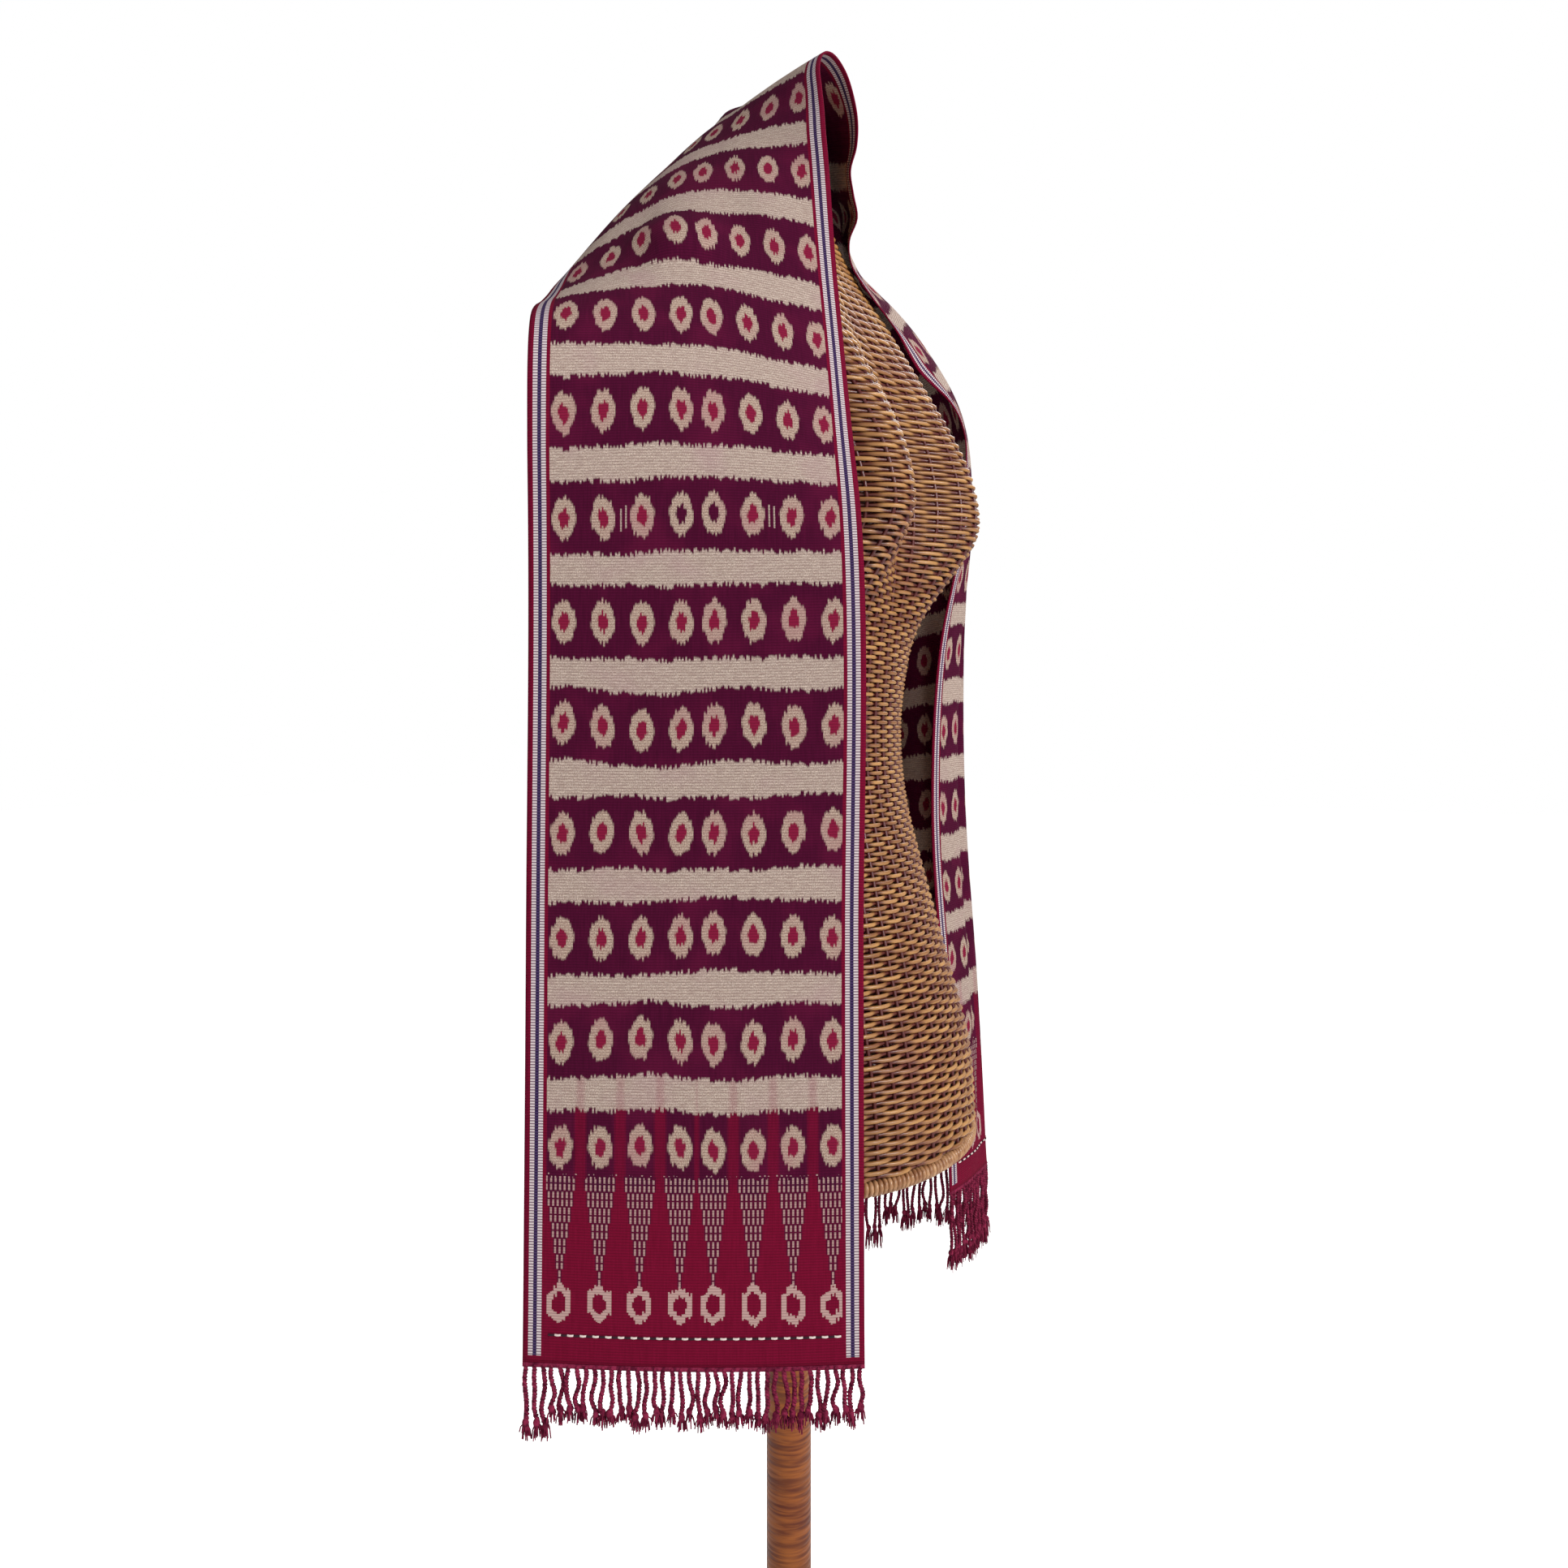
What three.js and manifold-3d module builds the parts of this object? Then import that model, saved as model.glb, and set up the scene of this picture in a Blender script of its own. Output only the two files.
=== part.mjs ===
// A pua kumbu, a woven and resist-dyed scarf, draped over a wicker dress form on a pole stand.
// Millimetres, +Z up. The form faces -Y. The origin is on the pole's axis, on the floor.
import * as THREE from "three";
import { mergeVertices } from "three/addons/utils/BufferGeometryUtils.js";
import Module from "manifold-3d";

const wasm = await Module();
wasm.setup();

// Driving dimensions of the stand
const BASE_RADIUS = 190;
const BASE_THICKNESS = 24;
const BASE_EDGE = 7;
const COLLAR_RADIUS = 42;
const COLLAR_HEIGHT = 46;
const POLE_RADIUS = 20;
const BOARD_BOTTOM = 644;
const BOARD_THICKNESS = 12;
const BOARD_INSET = 15;
const BINDING_RADIUS = 6.5;
const GAP = 0.3;

// Driving dimensions of the cloth
const CLOTH_WIDTH = 240;
const CLOTH_THICKNESS = 1.6;
const CLOTH_CLEARANCE = 4;
const CELLS_ACROSS = 12;
const CELLS_ALONG = 106;
const SETTLING_ROUNDS = 400;
const HOLD = 0.03;
const SETTLING_STEP = 1.6;

// Driving dimensions of the fringes
const STRIP_HEIGHT = 3;
const STRANDS = 40;
const STRAND_RADIUS = 1.8;
const STRAND_SIDES = 3;
const TUFT_RADIUS = 3;
const NEAR_FRINGE_LENGTH = 40;
const FAR_FRINGE_LENGTH = 76;
const CORNER_BUNCH = 3;
const BUNCH_LONGER = 1.3;
const LENGTH_SPREAD = 0.09;
const FIRST_STRAND = 0.012;
const STRAND_SWAY = 1.9;
const STRAND_SWING = 1.6;

const BODY_BOTTOM = BOARD_BOTTOM + BOARD_THICKNESS + GAP;
const BODY_TOP = 1553;
const BODY_SIDES = 40;
const BODY_RINGS = 46;

// The dress form's level sections, from its hips to the top of its neck
const formSections = [
  { z: 650, halfWidth: 180, halfDepth: 165, centreY: 0 },
  { z: 720, halfWidth: 178, halfDepth: 159, centreY: 0 },
  { z: 800, halfWidth: 162, halfDepth: 138, centreY: 0 },
  { z: 880, halfWidth: 140, halfDepth: 116, centreY: 0 },
  { z: 940, halfWidth: 128, halfDepth: 101, centreY: 0 },
  { z: 1000, halfWidth: 123, halfDepth: 96, centreY: 0 },
  { z: 1060, halfWidth: 130, halfDepth: 100, centreY: 0 },
  { z: 1130, halfWidth: 148, halfDepth: 106, centreY: 2 },
  { z: 1200, halfWidth: 162, halfDepth: 106, centreY: 6 },
  { z: 1280, halfWidth: 173, halfDepth: 98, centreY: 10 },
  { z: 1340, halfWidth: 183, halfDepth: 86, centreY: 14 },
  { z: 1380, halfWidth: 182, halfDepth: 72, centreY: 16 },
  { z: 1410, halfWidth: 148, halfDepth: 61, centreY: 18 },
  { z: 1440, halfWidth: 88, halfDepth: 55, centreY: 19 },
  { z: 1470, halfWidth: 57, halfDepth: 51, centreY: 20 },
  { z: 1500, halfWidth: 50, halfDepth: 50, centreY: 20 },
  { z: 1522, halfWidth: 49, halfDepth: 49, centreY: 20 },
  { z: 1538, halfWidth: 45, halfDepth: 45, centreY: 20 },
  { z: 1549, halfWidth: 35, halfDepth: 35, centreY: 20 },
  { z: BODY_TOP, halfWidth: 20, halfDepth: 20, centreY: 20 },
];
const bust = { height: 1185, aside: 85, reach: 76, width: 54, below: 66, above: 136 };

// The cloth's cross sections along its length, from the hem of the panel at the form's right
// to the hem of the other one: the edge nearer the neck, the middle and the outer edge
const drape = [
  { inner: [-155, -152, 549], middle: [-218, -47, 546], outer: [-278, 62, 551] },
  { inner: [-155, -150, 846], middle: [-217, -47, 846], outer: [-276, 59, 846] },
  { inner: [-152, -147, 1151], middle: [-215, -46, 1151], outer: [-275, 57, 1151] },
  { inner: [-130, -127, 1219], middle: [-206, -40, 1229], outer: [-275, 60, 1222] },
  { inner: [-108, -110, 1287], middle: [-190, -29, 1303], outer: [-272, 60, 1292] },
  { inner: [-98, -96, 1354], middle: [-166, -8, 1370], outer: [-222, 90, 1330] },
  { inner: [-90, -86, 1426], middle: [-138, 14, 1438], outer: [-168, 107, 1378] },
  { inner: [-82, -80, 1500], middle: [-88, 42, 1494], outer: [-110, 122, 1422] },
  { inner: [-58, -72, 1549], middle: [-38, 42, 1542], outer: [-52, 128, 1466] },
  { inner: [-8, -66, 1530], middle: [34, 36, 1546], outer: [20, 132, 1486] },
  { inner: [26, -52, 1472], middle: [90, 32, 1500], outer: [92, 128, 1458] },
  { inner: [54, -46, 1404], middle: [140, 12, 1452], outer: [162, 116, 1404] },
  { inner: [106, -72, 1354], middle: [186, -24, 1400], outer: [218, 92, 1344] },
  { inner: [152, -102, 1298], middle: [232, -52, 1326], outer: [240, 64, 1272] },
  { inner: [169, -103, 1216], middle: [254, -54, 1228], outer: [236, 52, 1188] },
  { inner: [160, -78, 1078], middle: [253, -51, 1084], outer: [218, 52, 1060] },
  { inner: [157, -70, 920], middle: [256, -52, 924], outer: [212, 52, 918] },
  { inner: [167, -77, 742], middle: [269, -60, 742], outer: [218, 48, 742] },
  { inner: [172, -82, 540], middle: [278, -68, 540], outer: [222, 46, 540] },
];

// Threads between the cloth's points: steps along and across, and stiffness
const threads = [
  { along: 0, across: 1, stiffness: 1 },
  { along: 1, across: 0, stiffness: 1 },
  { along: 1, across: 1, stiffness: 0.5 },
  { along: 1, across: -1, stiffness: 0.5 },
  { along: 0, across: 2, stiffness: 0.3 },
  { along: 2, across: 0, stiffness: 0.4 },
  { along: 3, across: 0, stiffness: 0.3 },
];

const wickerTan = new THREE.MeshStandardMaterial({ color: 0xb48a58, roughness: 0.6, metalness: 0 });
const bindingTan = new THREE.MeshStandardMaterial({ color: 0xa9764e, roughness: 0.6, metalness: 0 });
const poleBrown = new THREE.MeshStandardMaterial({ color: 0x8a4a28, roughness: 0.45, metalness: 0 });
const woodBrown = new THREE.MeshStandardMaterial({ color: 0x7a4a2c, roughness: 0.5, metalness: 0 });
const clothPurple = new THREE.MeshStandardMaterial({ color: 0x5b2040, roughness: 0.9, metalness: 0 });
const fringeRed = new THREE.MeshStandardMaterial({ color: 0x7a0f32, roughness: 0.95, metalness: 0 });

// Slopes of a smooth curve through uneven knots
function slopes(knots, values) {
  const last = knots.length - 1;
  return knots.map((knot, i) => {
    if (i === 0) return (values[1] - values[0]) / (knots[1] - knots[0]);
    if (i === last) return (values[last] - values[last - 1]) / (knots[last] - knots[last - 1]);
    const before = knot - knots[i - 1];
    const after = knots[i + 1] - knot;
    const rise = before * before * values[i + 1] - after * after * values[i - 1];
    return (rise + (after * after - before * before) * values[i]) / (before * after * (before + after));
  });
}

// A smooth function through the values at the knots
function smooth(knots, values) {
  const slope = slopes(knots, values);
  return (at) => {
    const x = Math.min(Math.max(at, knots[0]), knots[knots.length - 1]);
    let i = 0;
    while (i < knots.length - 2 && knots[i + 1] <= x) i += 1;
    const span = knots[i + 1] - knots[i];
    const t = (x - knots[i]) / span;
    const fromStart = (2 * t ** 3 - 3 * t ** 2 + 1) * values[i] + (t ** 3 - 2 * t ** 2 + t) * span * slope[i];
    const fromEnd = (3 * t ** 2 - 2 * t ** 3) * values[i + 1] + (t ** 3 - t ** 2) * span * slope[i + 1];
    return fromStart + fromEnd;
  };
}

const heights = formSections.map((section) => section.z);
const column = (name) => smooth(heights, formSections.map((section) => section[name]));
const halfWidthAt = column("halfWidth");
const halfDepthAt = column("halfDepth");
const centreAt = column("centreY");

// How far the bust stands proud of the form's plain oval section; it rises in a long slope to
// the chest and turns in quickly below
function bustReach(x, z) {
  const across = (Math.abs(x) - bust.aside) / bust.width;
  const up = (z - bust.height) / (z > bust.height ? bust.above : bust.below);
  return bust.reach * Math.exp(-across * across - up * up);
}

// Negative inside the form, positive outside, in millimetres near its surface
function formField(x, y, z) {
  const height = Math.min(Math.max(z, heights[0]), BODY_TOP);
  const halfWidth = halfWidthAt(height);
  const halfDepth = halfDepthAt(height);
  const forward = centreAt(height) - y;
  const share = Math.min(Math.max(forward / halfDepth, 0), 1);
  const depth = forward - bustReach(x, z) * share;
  const ratio = Math.hypot(x / halfWidth, depth / halfDepth);
  return (ratio - 1) * Math.min(halfWidth, halfDepth) + 3 * Math.max(z - BODY_TOP, 0);
}

// Moves a point of the cloth out along the field's slope, at most a few millimetres at once
function pushOut(points, at) {
  const probe = 0.5;
  const farthest = 6;
  const [x, y, z] = [points[at], points[at + 1], points[at + 2]];
  const gx = (formField(x + probe, y, z) - formField(x - probe, y, z)) / (2 * probe);
  const gy = (formField(x, y + probe, z) - formField(x, y - probe, z)) / (2 * probe);
  const gz = (formField(x, y, z + probe) - formField(x, y, z - probe)) / (2 * probe);
  const steepness = Math.sqrt(gx * gx + gy * gy + gz * gz + 1e-9);
  const short = CLOTH_CLEARANCE - formField(x, y, z) / steepness;
  const move = Math.min(Math.max(short, 0), farthest) / steepness;
  points[at] += move * gx;
  points[at + 1] += move * gy;
  points[at + 2] += move * gz;
}

// The distance along the cloth of each cross section, and the cloth's whole length
function sectionDistances() {
  const distances = [0];
  for (let i = 1; i < drape.length; i += 1) {
    const step = ["inner", "outer"].map((edge) => {
      const from = new THREE.Vector3(...drape[i - 1][edge]);
      return from.distanceTo(new THREE.Vector3(...drape[i][edge]));
    });
    distances.push(distances[i - 1] + (step[0] + step[1]) / 2);
  }
  return distances;
}

// The cloth's middle surface as drawn through the cross sections
function drawnCloth(distances) {
  const lines = ["inner", "middle", "outer"].map((edge) =>
    [0, 1, 2].map((axis) => smooth(distances, drape.map((section) => section[edge][axis]))),
  );
  const length = distances[distances.length - 1];
  const columns = CELLS_ACROSS + 1;
  const points = new Float64Array((CELLS_ALONG + 1) * columns * 3);
  for (let i = 0; i <= CELLS_ALONG; i += 1) {
    for (let j = 0; j < columns; j += 1) {
      const s = j / CELLS_ACROSS;
      const weights = [2 * (s - 0.5) * (s - 1), 4 * s * (1 - s), 2 * s * (s - 0.5)];
      for (let axis = 0; axis < 3; axis += 1) {
        const at = (length * i) / CELLS_ALONG;
        const value = lines.reduce((sum, line, k) => sum + weights[k] * line[axis](at), 0);
        points[(i * columns + j) * 3 + axis] = value;
      }
    }
  }
  return points;
}

// Settles the drawn cloth: its threads take their woven length and it clears the form
function settledCloth(drawn, length) {
  const columns = CELLS_ACROSS + 1;
  const rows = CELLS_ALONG + 1;
  const cellAcross = CLOTH_WIDTH / CELLS_ACROSS;
  const cellAlong = length / CELLS_ALONG;
  const points = Float64Array.from(drawn);
  for (let round = 0; round < SETTLING_ROUNDS; round += 1) {
    const moves = new Float64Array(points.length);
    const weights = new Float64Array(rows * columns);
    for (const thread of threads) {
      const woven = Math.hypot(thread.along * cellAlong, thread.across * cellAcross);
      for (let i = 0; i + thread.along < rows; i += 1) {
        for (let j = Math.max(0, -thread.across); j < columns - Math.max(0, thread.across); j += 1) {
          const a = i * columns + j;
          const b = (i + thread.along) * columns + j + thread.across;
          const d = [0, 1, 2].map((axis) => points[b * 3 + axis] - points[a * 3 + axis]);
          const now = Math.hypot(...d);
          const pull = (thread.stiffness * 0.5 * (now - woven)) / now;
          for (let axis = 0; axis < 3; axis += 1) {
            moves[a * 3 + axis] += pull * d[axis];
            moves[b * 3 + axis] -= pull * d[axis];
          }
          weights[a] += thread.stiffness;
          weights[b] += thread.stiffness;
        }
      }
    }
    for (let n = 0; n < rows * columns; n += 1) {
      for (let axis = 0; axis < 3; axis += 1) {
        const at = n * 3 + axis;
        points[at] += (SETTLING_STEP * moves[at]) / weights[n];
        points[at] += HOLD * (drawn[at] - points[at]);
      }
      pushOut(points, n * 3);
    }
  }
  return points;
}

// A closed solid of even thickness around a grid of points, rows of Vector3
function sheetSolid(grid, thickness) {
  const rows = grid.length;
  const columns = grid[0].length;
  const clamp = (value, most) => Math.min(Math.max(value, 0), most);
  const positions = [];
  for (const side of [1, -1]) {
    grid.forEach((row, i) => {
      row.forEach((point, j) => {
        const along = grid[clamp(i + 1, rows - 1)][j].clone().sub(grid[clamp(i - 1, rows - 1)][j]);
        const across = row[clamp(j + 1, columns - 1)].clone().sub(row[clamp(j - 1, columns - 1)]);
        const normal = across.cross(along).normalize();
        positions.push(...point.clone().addScaledVector(normal, (side * thickness) / 2).toArray());
      });
    });
  }
  const index = [];
  const quad = (a, b, c, d) => index.push(a, b, c, a, c, d);
  const below = rows * columns;
  for (let i = 0; i < rows - 1; i += 1) {
    for (let j = 0; j < columns - 1; j += 1) {
      const a = i * columns + j;
      quad(a, a + 1, a + columns + 1, a + columns);
      quad(below + a, below + a + columns, below + a + columns + 1, below + a + 1);
    }
  }
  for (let j = 0; j < columns - 1; j += 1) {
    const last = (rows - 1) * columns + j;
    quad(j, below + j, below + j + 1, j + 1);
    quad(last, last + 1, below + last + 1, below + last);
  }
  for (let i = 0; i < rows - 1; i += 1) {
    const left = i * columns;
    const right = left + columns - 1;
    quad(left, left + columns, below + left + columns, below + left);
    quad(right, below + right, below + right + columns, right + columns);
  }
  const geometry = new THREE.BufferGeometry();
  geometry.setAttribute("position", new THREE.Float32BufferAttribute(positions, 3));
  geometry.setIndex(index);
  return geometry;
}

// A closed strand through the points, with a radius at each
function strandSolid(points, radii, sides) {
  const positions = [];
  points.forEach((point, i) => {
    const next = points[Math.min(i + 1, points.length - 1)];
    const ahead = next.clone().sub(points[Math.max(i - 1, 0)]).normalize();
    const right = new THREE.Vector3(1, 0, 0).cross(ahead).normalize();
    const front = ahead.clone().cross(right);
    for (let k = 0; k < sides; k += 1) {
      const angle = (2 * Math.PI * k) / sides;
      const rim = point.clone().addScaledVector(right, radii[i] * Math.cos(angle));
      positions.push(...rim.addScaledVector(front, radii[i] * Math.sin(angle)).toArray());
    }
  });
  const index = [];
  for (let i = 0; i < points.length - 1; i += 1) {
    for (let k = 0; k < sides; k += 1) {
      const a = i * sides + k;
      const b = i * sides + ((k + 1) % sides);
      index.push(a, b, b + sides, a, b + sides, a + sides);
    }
  }
  const last = (points.length - 1) * sides;
  for (let k = 1; k < sides - 1; k += 1) {
    index.push(0, k + 1, k);
    index.push(last, last + k, last + k + 1);
  }
  const geometry = new THREE.BufferGeometry();
  geometry.setAttribute("position", new THREE.Float32BufferAttribute(positions, 3));
  geometry.setIndex(index);
  return geometry;
}

function toSolid(geometry) {
  const merged = mergeVertices(geometry, 1e-3);
  return new wasm.Manifold(
    new wasm.Mesh({
      numProp: 3,
      vertProperties: merged.attributes.position.array,
      triVerts: new Uint32Array(merged.index.array),
    }),
  );
}

function toGeometry(solid) {
  const mesh = solid.getMesh();
  const geometry = new THREE.BufferGeometry();
  geometry.setAttribute("position", new THREE.BufferAttribute(mesh.vertProperties, 3));
  geometry.setIndex(new THREE.BufferAttribute(mesh.triVerts, 1));
  return geometry;
}

// A repeatable number from -1 to 1 for the wander of a strand
function wander(seed) {
  const value = Math.sin(seed * 127.1 + 11.7) * 43758.5453;
  return 2 * (value - Math.floor(value)) - 1;
}

// A point at a share of the way along a row of points
function pointAlong(row, share) {
  const at = Math.min(share * (row.length - 1), row.length - 1.001);
  const i = Math.floor(at);
  return row[i].clone().lerp(row[i + 1], at - i);
}

// A fringe below a hem: a narrow strip and the twisted strands that hang from it
function fringeGeometry(hem, above, length, seed) {
  const down = hem.map((point, j) => point.clone().sub(above[j]).normalize());
  const top = hem.map((point, j) => point.clone().addScaledVector(down[j], GAP));
  const bottom = hem.map((point, j) => point.clone().addScaledVector(down[j], GAP + STRIP_HEIGHT));
  let solid = toSolid(sheetSolid([bottom, top], CLOTH_THICKNESS));
  const levels = [0, 0.32, 0.62, 0.8, 1];
  const widths = [1, 1, 1, TUFT_RADIUS / STRAND_RADIUS, 0.8];
  for (let n = 0; n < STRANDS; n += 1) {
    const share = FIRST_STRAND + ((1 - 2 * FIRST_STRAND) * n) / (STRANDS - 1);
    const root = pointAlong(top, share).addScaledVector(new THREE.Vector3(0, 0, -1), 1);
    const beside = hem[hem.length - 1].clone().sub(hem[0]).setZ(0).normalize();
    const outward = new THREE.Vector3(-beside.y, beside.x, 0);
    const inBunch = n >= STRANDS - CORNER_BUNCH;
    const reach = length * (inBunch ? BUNCH_LONGER : 1 + LENGTH_SPREAD * wander(seed + n));
    const points = levels.map((level, k) => {
      const sway = k === 0 ? 0 : STRAND_SWAY * wander(seed + 7 * n + k) * Math.min(level * 2, 1);
      const swing = k === 0 ? 0 : STRAND_SWING * wander(seed + 13 * n + k);
      const point = root.clone().addScaledVector(beside, sway).addScaledVector(outward, swing);
      return point.setZ(root.z - level * reach);
    });
    solid = solid.add(toSolid(strandSolid(points, widths.map((w) => w * STRAND_RADIUS), STRAND_SIDES)));
  }
  return toGeometry(solid);
}

// The form's solid, a stack of level rings closed at the bottom and at the neck's top
function formGeometry() {
  const positions = [];
  for (let i = 0; i <= BODY_RINGS; i += 1) {
    const z = BODY_BOTTOM + ((BODY_TOP - BODY_BOTTOM) * i) / BODY_RINGS;
    for (let k = 0; k < BODY_SIDES; k += 1) {
      const angle = (2 * Math.PI * k) / BODY_SIDES;
      const x = halfWidthAt(z) * Math.cos(angle);
      const forward = Math.max(-Math.sin(angle), 0);
      const y = centreAt(z) + halfDepthAt(z) * Math.sin(angle) - bustReach(x, z) * forward;
      positions.push(x, y, z);
    }
  }
  const bottomCentre = positions.length / 3;
  positions.push(0, 0, BODY_BOTTOM);
  positions.push(0, centreAt(BODY_TOP), BODY_TOP);
  const index = [];
  const lastRing = BODY_RINGS * BODY_SIDES;
  for (let k = 0; k < BODY_SIDES; k += 1) {
    const next = (k + 1) % BODY_SIDES;
    for (let i = 0; i < BODY_RINGS; i += 1) {
      const ring = i * BODY_SIDES;
      const above = ring + BODY_SIDES;
      index.push(ring + k, ring + next, above + next, ring + k, above + next, above + k);
    }
    index.push(bottomCentre, next, k);
    index.push(bottomCentre + 1, lastRing + k, lastRing + next);
  }
  const geometry = new THREE.BufferGeometry();
  geometry.setAttribute("position", new THREE.Float32BufferAttribute(positions, 3));
  geometry.setIndex(index);
  return geometry;
}

// An oval ring or plate that follows the form's bottom edge, drawn in by the inset
function ovalShape(inset) {
  const shape = new THREE.Shape();
  shape.absellipse(0, 0, halfWidthAt(BODY_BOTTOM) - inset, halfDepthAt(BODY_BOTTOM) - inset, 0, 2 * Math.PI);
  return shape;
}

class OvalPath extends THREE.Curve {
  getPoint(t, target = new THREE.Vector3()) {
    const angle = 2 * Math.PI * t;
    const inset = BINDING_RADIUS;
    const x = (halfWidthAt(BODY_BOTTOM) - inset) * Math.cos(angle);
    return target.set(x, (halfDepthAt(BODY_BOTTOM) - inset) * Math.sin(angle), 0);
  }
}

function bindingGeometry() {
  const steps = 48;
  const sides = 8;
  const path = new OvalPath();
  const positions = [];
  const index = [];
  for (let i = 0; i < steps; i += 1) {
    const centre = path.getPoint(i / steps);
    const out = centre.clone().normalize();
    for (let k = 0; k < sides; k += 1) {
      const angle = (2 * Math.PI * k) / sides;
      const rim = centre.clone().addScaledVector(out, BINDING_RADIUS * Math.cos(angle));
      positions.push(rim.x, rim.y, BINDING_RADIUS * Math.sin(angle));
      const nextStep = ((i + 1) % steps) * sides;
      const nextSide = (k + 1) % sides;
      const here = i * sides;
      index.push(here + k, nextStep + k, nextStep + nextSide, here + k, nextStep + nextSide, here + nextSide);
    }
  }
  const geometry = new THREE.BufferGeometry();
  geometry.setAttribute("position", new THREE.Float32BufferAttribute(positions, 3));
  geometry.setIndex(index);
  return geometry;
}

// A turned piece from its half section, radius and height pairs
function turned(profile, segments) {
  const geometry = new THREE.LatheGeometry(
    profile.map(([radius, height]) => new THREE.Vector2(radius, height)),
    segments,
  );
  return geometry.rotateX(Math.PI / 2);
}

const object = new THREE.Group();

function addMesh(name, geometry, material, z = 0) {
  const mesh = new THREE.Mesh(geometry, material);
  mesh.name = name;
  mesh.position.z = z;
  object.add(mesh);
  return mesh;
}

// Stand: base disc, collar, pole
const baseProfile = [
  [0, 0],
  [BASE_RADIUS - 3, 0],
  [BASE_RADIUS, 3],
  [BASE_RADIUS, BASE_THICKNESS - BASE_EDGE],
  [BASE_RADIUS - 0.3 * BASE_EDGE, BASE_THICKNESS - 0.3 * BASE_EDGE],
  [BASE_RADIUS - BASE_EDGE, BASE_THICKNESS],
  [0, BASE_THICKNESS],
];
addMesh("base", turned(baseProfile, 72), woodBrown);
const collarInner = POLE_RADIUS + GAP;
const collarProfile = [
  [collarInner, 0],
  [COLLAR_RADIUS, 0],
  [COLLAR_RADIUS, 0.3 * COLLAR_HEIGHT],
  [collarInner + 8, 0.9 * COLLAR_HEIGHT],
  [collarInner + 6, COLLAR_HEIGHT],
  [collarInner, COLLAR_HEIGHT],
  [collarInner, 0],
];
addMesh("pole_collar", turned(collarProfile, 40), woodBrown, BASE_THICKNESS + GAP);
const poleBottom = BASE_THICKNESS + GAP;
const poleHeight = BOARD_BOTTOM - GAP - poleBottom;
const poleGeometry = new THREE.CylinderGeometry(POLE_RADIUS, POLE_RADIUS, poleHeight, 32);
poleGeometry.rotateX(Math.PI / 2);
addMesh("pole", poleGeometry, poleBrown, poleBottom + poleHeight / 2);

// Dress form: its closing board, the binding around its lower edge and the wicker body
const boardGeometry = new THREE.ExtrudeGeometry(ovalShape(BOARD_INSET), {
  depth: BOARD_THICKNESS,
  bevelEnabled: false,
  curveSegments: 32,
});
addMesh("bottom_board", boardGeometry, woodBrown, BOARD_BOTTOM);
addMesh("rim_binding", bindingGeometry(), bindingTan, BODY_BOTTOM - GAP - BINDING_RADIUS);
addMesh("wicker_body", formGeometry(), wickerTan);

// Scarf: the draped cloth and the knotted fringe at each end
const distances = sectionDistances();
const settled = settledCloth(drawnCloth(distances), distances[distances.length - 1]);
const clothGrid = [];
for (let i = 0; i <= CELLS_ALONG; i += 1) {
  const row = [];
  for (let j = 0; j <= CELLS_ACROSS; j += 1) {
    row.push(new THREE.Vector3().fromArray(settled, (i * (CELLS_ACROSS + 1) + j) * 3));
  }
  clothGrid.push(row);
}
addMesh("scarf", sheetSolid(clothGrid, CLOTH_THICKNESS), clothPurple);
const nearFringe = fringeGeometry(clothGrid[0], clothGrid[1], NEAR_FRINGE_LENGTH, 3);
addMesh("fringe_near", nearFringe, fringeRed);
const farHem = clothGrid[CELLS_ALONG];
const farFringe = fringeGeometry(farHem, clothGrid[CELLS_ALONG - 1], FAR_FRINGE_LENGTH, 71);
addMesh("fringe_far", farFringe, fringeRed);

export default object;
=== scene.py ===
# %% [markdown]
# A pua kumbu is a long cotton cloth whose warp is tied and dyed before it is woven, so its rings
# and bars have feathered edges. This one is a narrow scarf with knotted fringes, draped over the
# neck and shoulders of a wicker dress form. The measured model is loaded first and never moved;
# every piece below is dressed around it.
# %% Load the measured model
import math

import bpy
import numpy as np
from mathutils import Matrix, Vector


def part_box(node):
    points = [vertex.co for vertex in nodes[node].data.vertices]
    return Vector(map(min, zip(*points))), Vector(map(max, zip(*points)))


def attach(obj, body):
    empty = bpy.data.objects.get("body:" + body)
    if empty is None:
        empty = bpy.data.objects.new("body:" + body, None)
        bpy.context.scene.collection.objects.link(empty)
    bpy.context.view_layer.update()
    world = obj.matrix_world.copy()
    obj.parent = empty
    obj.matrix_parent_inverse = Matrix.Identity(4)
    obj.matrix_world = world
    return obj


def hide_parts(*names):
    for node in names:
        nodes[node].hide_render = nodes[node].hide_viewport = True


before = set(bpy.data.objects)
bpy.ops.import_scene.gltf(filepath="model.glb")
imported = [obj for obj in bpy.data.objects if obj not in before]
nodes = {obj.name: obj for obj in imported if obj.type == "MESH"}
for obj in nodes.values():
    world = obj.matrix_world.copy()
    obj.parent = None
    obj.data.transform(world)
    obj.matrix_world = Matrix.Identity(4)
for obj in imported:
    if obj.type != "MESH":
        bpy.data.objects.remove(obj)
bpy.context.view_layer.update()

MM = 0.001
print("nodes:", sorted(nodes))

# %% [markdown]
# The picture was taken from the form's right, a little to the front, at waist height, with a
# level camera. A level camera keeps upright edges upright, and a small vertical shift frames the
# scarf instead of a tilt. The floor and the light are plain and pale.
# %% Camera
IMAGE_SIDE = 1932
FOCAL_PIXELS = 1400
HORIZON_ROW = 900
CAMERA_AZIMUTH = math.radians(-60)
CAMERA_DISTANCE = 1.02
CAMERA_HEIGHT = 1.0
CAMERA_ASIDE = 0.0044
SENSOR_MM = 36

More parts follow.
